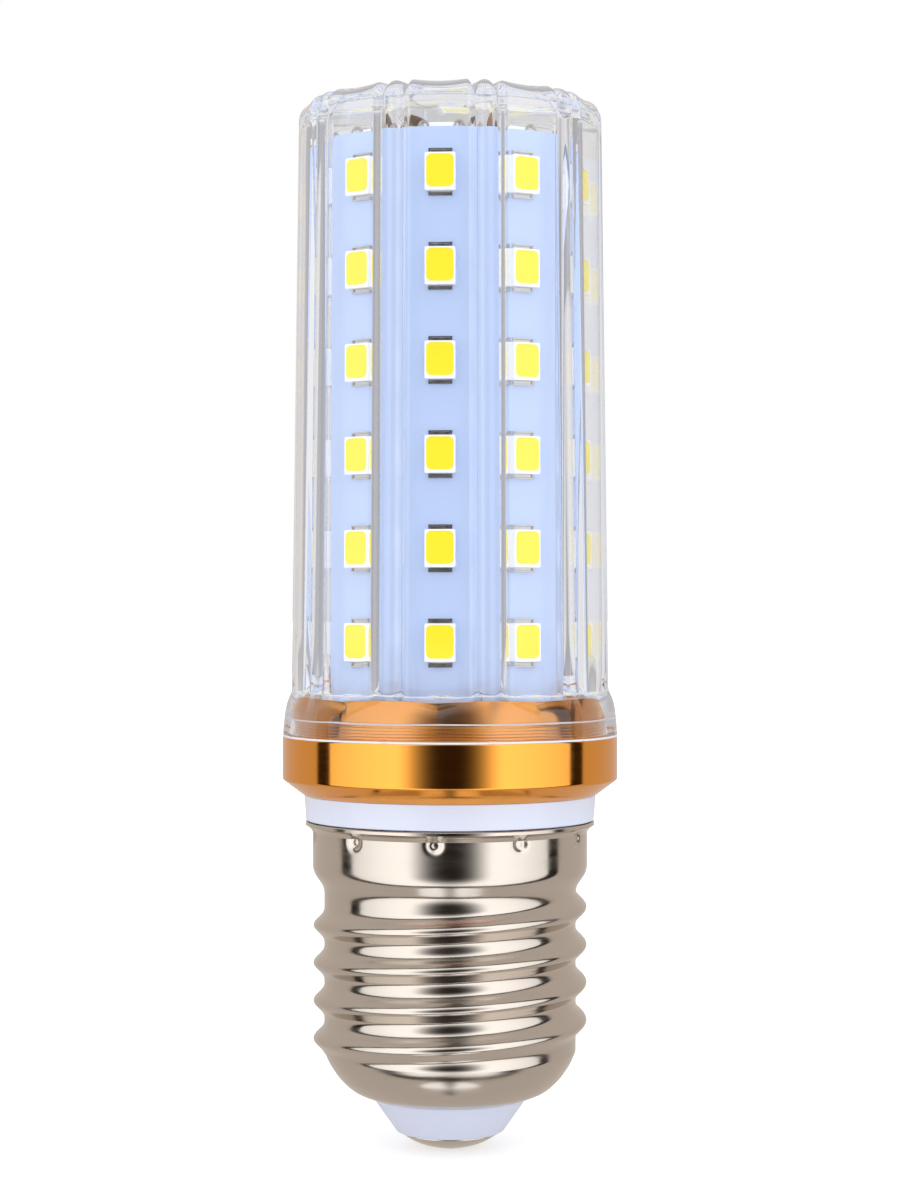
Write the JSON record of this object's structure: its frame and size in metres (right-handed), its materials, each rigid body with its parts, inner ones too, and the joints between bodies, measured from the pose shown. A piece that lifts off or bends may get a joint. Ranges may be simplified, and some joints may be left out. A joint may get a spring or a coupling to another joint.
{
  "type": "led light bulb",
  "caption": "Screw-cap LED lamp with a ring of diode boards under a clear fluted cover, on a gold aluminium collar.",
  "frame": {"origin": "lowest point of the centre contact, on the lamp's axis", "axes": "+Z from the cap to the crown of the cover, -Y through the middle of the first diode board"},
  "size_m": [0.0322, 0.0322, 0.1003],
  "materials": {
    "cover_plastic": "clear",
    "gold_aluminium": "turned, anodised",
    "white_plastic": "satin",
    "nickel_plate": "polished",
    "board_blue": "solder mask",
    "diode_body": "moulded",
    "phosphor": "satin",
    "solder": "tinned",
    "driver_laminate": "satin",
    "black_package": "matt",
    "wire_red": "satin",
    "can_aluminium": "satin"
  },
  "bodies": {
    "root": {"cover": "cover_plastic", "collar": "gold_aluminium", "housing": "white_plastic", "cap_shell": "nickel_plate", "cap_insulator": "white_plastic", "centre_contact": "nickel_plate", "led_board_01": "board_blue", "led_bodies_01": "diode_body", "led_phosphor_01": "phosphor", "led_terminals_01": "solder", "led_board_02": "board_blue", "led_bodies_02": "diode_body", "led_phosphor_02": "phosphor", "led_terminals_02": "solder", "led_board_03": "board_blue", "led_bodies_03": "diode_body", "led_phosphor_03": "phosphor", "led_terminals_03": "solder", "led_board_04": "board_blue", "led_bodies_04": "diode_body", "led_phosphor_04": "phosphor", "led_terminals_04": "solder", "led_board_05": "board_blue", "led_bodies_05": "diode_body", "led_phosphor_05": "phosphor", "led_terminals_05": "solder", "led_board_06": "board_blue", "led_bodies_06": "diode_body", "led_phosphor_06": "phosphor", "led_terminals_06": "solder", "led_board_07": "board_blue", "led_bodies_07": "diode_body", "led_phosphor_07": "phosphor", "led_terminals_07": "solder", "led_board_08": "board_blue", "led_bodies_08": "diode_body", "led_phosphor_08": "phosphor", "led_terminals_08": "solder", "led_board_09": "board_blue", "led_bodies_09": "diode_body", "led_phosphor_09": "phosphor", "led_terminals_09": "solder", "led_board_10": "board_blue", "led_bodies_10": "diode_body", "led_phosphor_10": "phosphor", "led_terminals_10": "solder", "top_board": "board_blue", "top_led_bodies": "diode_body", "top_led_phosphor": "phosphor", "top_led_terminals": "solder", "board_solder": "solder", "driver_board": "driver_laminate", "rectifier": "black_package", "driver_chip": "black_package", "smoothing_capacitor": "can_aluminium", "inductor": "black_package", "fuse_resistor": "driver_laminate", "live_wire": "wire_red", "neutral_wire": "wire_red", "led_wires": "wire_red"}
  },
  "joints": []
}
